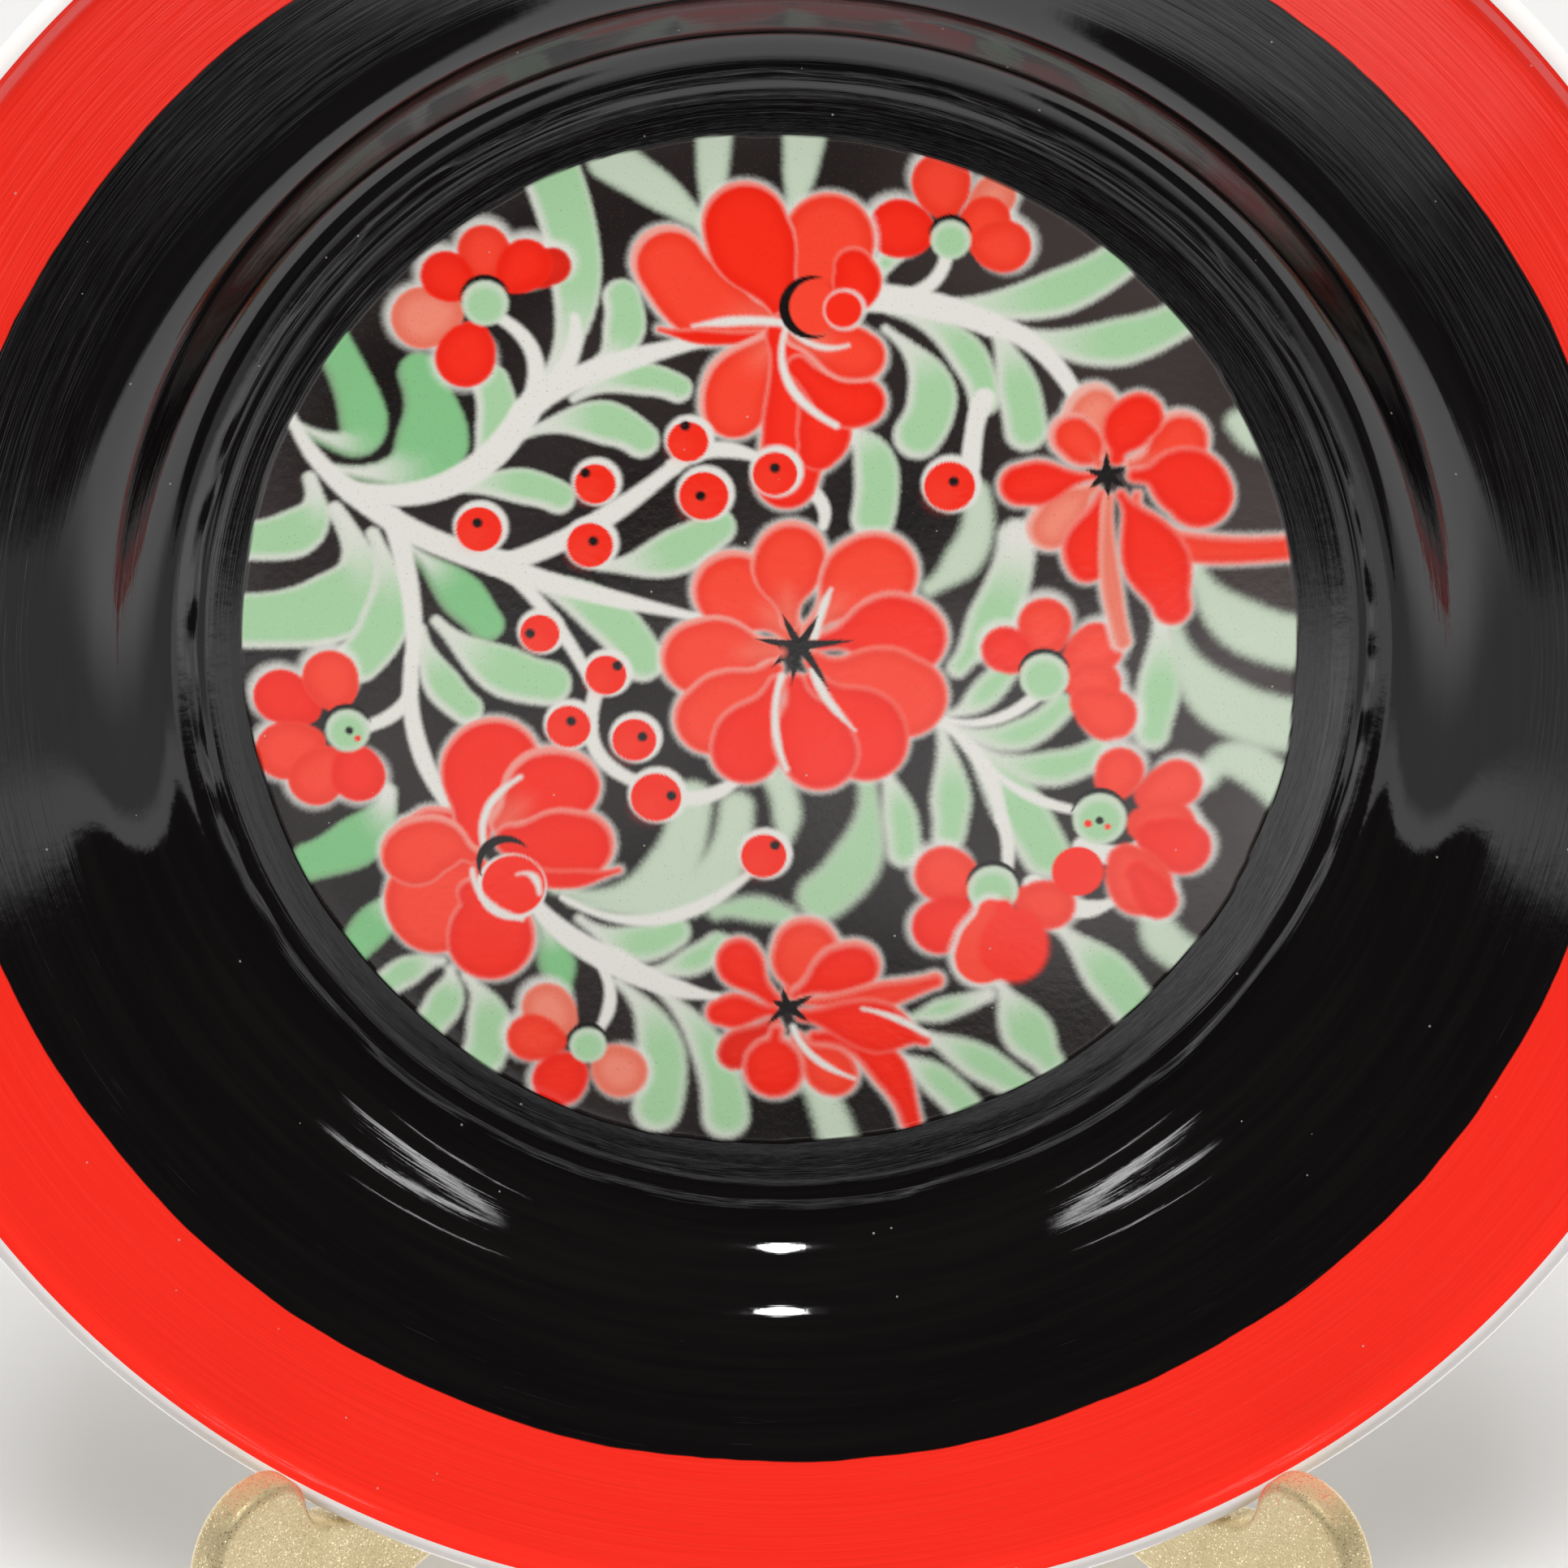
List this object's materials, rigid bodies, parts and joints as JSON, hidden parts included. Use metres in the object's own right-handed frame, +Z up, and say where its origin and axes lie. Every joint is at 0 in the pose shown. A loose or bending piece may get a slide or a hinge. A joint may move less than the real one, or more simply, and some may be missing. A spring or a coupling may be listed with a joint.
{
  "type": "decorative bowl",
  "caption": "Shallow painted bowl with a wide flat rim, curved wall and floral centre, leaning back in the hooks of an interlocking gold display stand.",
  "frame": {"origin": "middle of the footprint, on the table the stand's feet rest on", "axes": "+Z up, the open side of the bowl faces -Y, +X to the viewer's right"},
  "size_m": [0.24, 0.1146, 0.2457],
  "materials": {
    "glazed_porcelain": "gloss, black and red painted with a white lip and back",
    "gold_paint": "gold paint with fine glitter"
  },
  "bodies": {
    "stand": {"stand_left": "gold_paint", "stand_right": "gold_paint"},
    "bowl": {"bowl": "glazed_porcelain"}
  },
  "joints": [
    {"name": "bowl_lift", "type": "slide", "parent": "stand", "child": "bowl", "axis": [0, 0.2588, 0.9659], "range_m": [0, 0.16]}
  ]
}
